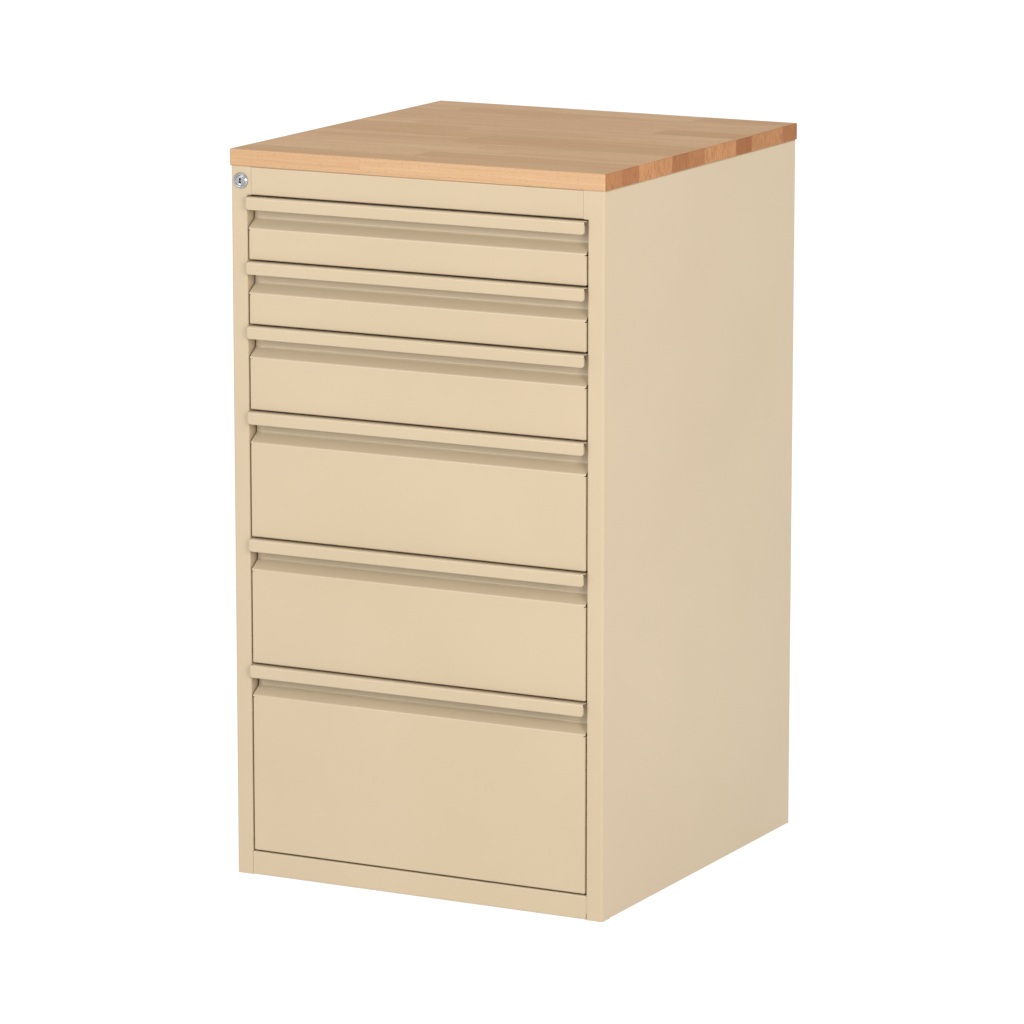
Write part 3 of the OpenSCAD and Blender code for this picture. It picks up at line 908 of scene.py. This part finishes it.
def pan_edge(flat_x, inner_x, flat_z, relief_z, face_y):
    """The face's rounded edge and its return, down one side, round the corners and up the other."""
    steps = 6
    quarter = [math.pi / 2 * k / steps for k in range(steps + 1)]
    half_path = [(flat_x, relief_z, 0.0)] + [(flat_x, flat_z, a) for a in quarter]
    half_path.append((inner_x, flat_z, math.pi / 2))
    path = [(x, z, math.cos(a), -math.sin(a)) for x, z, a in half_path]
    path += [(-x, z, -out_x, out_z) for x, z, out_x, out_z in reversed(path)]
    rows = []
    for x, z, out_x, out_z in path:
        row = [Vector((x + out_x * SMALL_BEND * math.sin(a), face_y + SMALL_BEND * (1 - math.cos(a)),
                       z + out_z * SMALL_BEND * math.sin(a))) for a in quarter]
        row.append(Vector((x + out_x * SMALL_BEND, BOX_Y, z + out_z * SMALL_BEND)))
        rows.append(row)
    return rows


def hemmed_wall(outer, rim_z, side):
    """Line of a box wall, from its hem's lower edge over the rim and down to the end of the turn."""
    x = outer - side * SHEET / 2
    turn_z = rim_z - SHEET / 2 - HEM_BEND
    hem = [Vector((x - side * FLAP_GAP, rim_z - HEM_H))]
    centre = Vector((x - side * HEM_BEND, turn_z))
    steps = 6
    angles = [math.pi * k / steps for k in range(steps + 1)]
    return hem + [centre + Vector((-side * math.cos(a), math.sin(a))) * HEM_BEND for a in angles]


def drawer_box(n):
    """Open box: sides and floor are one fold, the ends stand between them, and all rims are hemmed."""
    node = f"drawer_{n}_box"
    low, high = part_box(node)
    half = high.x
    floor_z = low.z + SHEET / 2
    right = hemmed_wall(half, high.z, 1)
    left = [Vector((-p.x, p.y)) for p in right]
    wall_x = half - SHEET / 2
    tray = folded([right[-1], (wall_x, floor_z), (-wall_x, floor_z), left[-1]], [SMALL_BEND] * 2)
    grids = [swept(right[:-1] + tray + left[-2::-1], "y", (low.y, high.y))]
    grids += [box_end(low.y, 1, half, low.z, high.z), box_end(high.y, -1, half, low.z, high.z)]
    box = ease_edges(thicken(surface(f"{node}_sheet", grids)))
    dress(box, f"drawer_{n}", PAINT, "powder_coat", node)
    catch(n, half)


def box_end(y, inward_y, half, low_z, rim_z):
    """End wall of a box, notched at its upper corners to clear the side walls' hems."""
    wall = hemmed_wall(y, rim_z, -inward_y)
    notch_z = rim_z - HEM_H - RELIEF
    wall_y = wall[-1].x
    line = [(p, HEM_NOTCH) for p in wall]
    line += [(Vector((wall_y, notch_z)), HEM_NOTCH), (Vector((wall_y, notch_z - NOTCH_SLOPE)), SHEET),
             (Vector((wall_y, low_z + SHEET)), SHEET)]
    return [[Vector((x, p.x, p.y)) for x in (inset - half, half - inset)] for p, inset in line]


def catch(n, half):
    """Tab on the box's left side, which the lock bar's finger blocks."""
    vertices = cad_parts[f"drawer_{n}_box"].data.vertices
    low, high = corners_of([v.co for v in vertices if v.co.x < -half - SHEET / 2])
    y = (low.y + high.y) / 2
    plate = swept([Vector((low.x, y)), Vector((-half, y))], "z", (low.z, high.z))
    tab = ease_edges(thicken(surface(f"drawer_{n}_catch", [plate]), high.y - low.y))
    dress(tab, f"drawer_{n}", PAINT, "powder_coat")


def slide_member(n, kind, body, web_outside):
    """Left and right rails of one slide member: a C section with its web on one side."""
    node = f"drawer_{n}_{kind}_rails"
    low, high = corners_of([v.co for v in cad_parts[node].data.vertices if v.co.x > 0])
    web, reach = (high.x - SHEET / 2, low.x) if web_outside else (low.x + SHEET / 2, high.x)
    z0, z1 = low.z + SHEET / 2, high.z - SHEET / 2
    section = [(reach, z1), (web, z1), (web, z0), (reach, z0)]
    grids = []
    for side in (-1, 1):
        line = folded(mirrored(section, side), [SMALL_BEND] * 2)
        grids.append(swept(line, "y", (low.y, high.y)))
    rails = ease_edges(thicken(surface(f"{node}_steel", grids)), SLIDE_EASE)
    dress(rails, body, ZINC, "zinc", node)


def drawers():
    """Each drawer's front and box, and its slide's three members."""
    for n in DRAWERS:
        drawer_front(n)
        drawer_box(n)
        slide_member(n, "cabinet", "cabinet", True)
        slide_member(n, "middle", f"drawer_{n}_middle", True)
        slide_member(n, "inner", f"drawer_{n}", False)


# ---- Stage ----

def camera():
    """Camera at its distance from the aim, turned to the right of the front and looking down."""
    data = bpy.data.cameras.new("camera")
    data.lens = CAMERA_LENS
    data.sensor_width = CAMERA_SENSOR
    cam = link(bpy.data.objects.new("camera", data))
    back = Vector((math.sin(CAMERA_YAW) * math.cos(CAMERA_DOWN),
                   -math.cos(CAMERA_YAW) * math.cos(CAMERA_DOWN), math.sin(CAMERA_DOWN)))
    cam.location = CAMERA_AIM + back * CAMERA_DISTANCE
    cam.rotation_euler = (math.pi / 2 - CAMERA_DOWN, 0, CAMERA_YAW)
    bpy.context.scene.camera = cam


def softbox(name, place, size, power, colour):
    """Square area light aimed at the middle of the cabinet."""
    data = bpy.data.lights.new(name, "AREA")
    data.size = size
    data.energy = power
    data.color = colour
    lamp = link(bpy.data.objects.new(name, data))
    lamp.location = place
    aim = Vector((0, 0, BODY_TOP / 2)) - Vector(place)
    lamp.rotation_euler = aim.to_track_quat("-Z", "Y").to_euler()


def sky():
    """Plain white surroundings, a little brighter overhead and as white as the floor at the horizon."""
    world = bpy.data.worlds.new("studio")
    world.use_nodes = True
    tree = world.node_tree
    direction = tree.nodes.new("ShaderNodeTexCoord").outputs["Generated"]
    height = add(tree, "ShaderNodeSeparateXYZ", Vector=direction).outputs["Z"]
    dome = remap(tree, height, 0.0, OVERHEAD, SKY_LOW, SKY_HIGH)
    horizon = remap(tree, height, HORIZON_TOP, 2 * HORIZON_TOP, SKY_HORIZON, 0.0)
    background = tree.nodes["Background"]
    background.inputs["Color"].default_value = (*WHITE, 1.0)
    tree.links.new(math_node(tree, "MAXIMUM", dome, horizon), background.inputs["Strength"])
    bpy.context.scene.world = world


def studio():
    """Pale floor, the sky, and two soft lights."""
    bm = bmesh.new()
    ends = (-FLOOR_REACH, FLOOR_REACH)
    add_grid(bm, [[Vector((x, y, 0)) for x in ends] for y in ends])
    floor = object_from(bm, "floor")
    floor.data.materials.append(pale_floor())
    sky()
    softbox("front_light", place=(-1.45, -3.5, 2.0), size=1.5, power=57, colour=WHITE)
    softbox("right_light", place=(2.6, -2.0, 1.4), size=1.2, power=62, colour=WARM_WHITE)
    bpy.context.scene.view_settings.view_transform = "Standard"


camera()
studio()
side_panels()
front_rails()
rear_and_base()
uprights()
worktop()
lock_housing()
lock_plug()
lock_inside()
all_screws()
drawers()
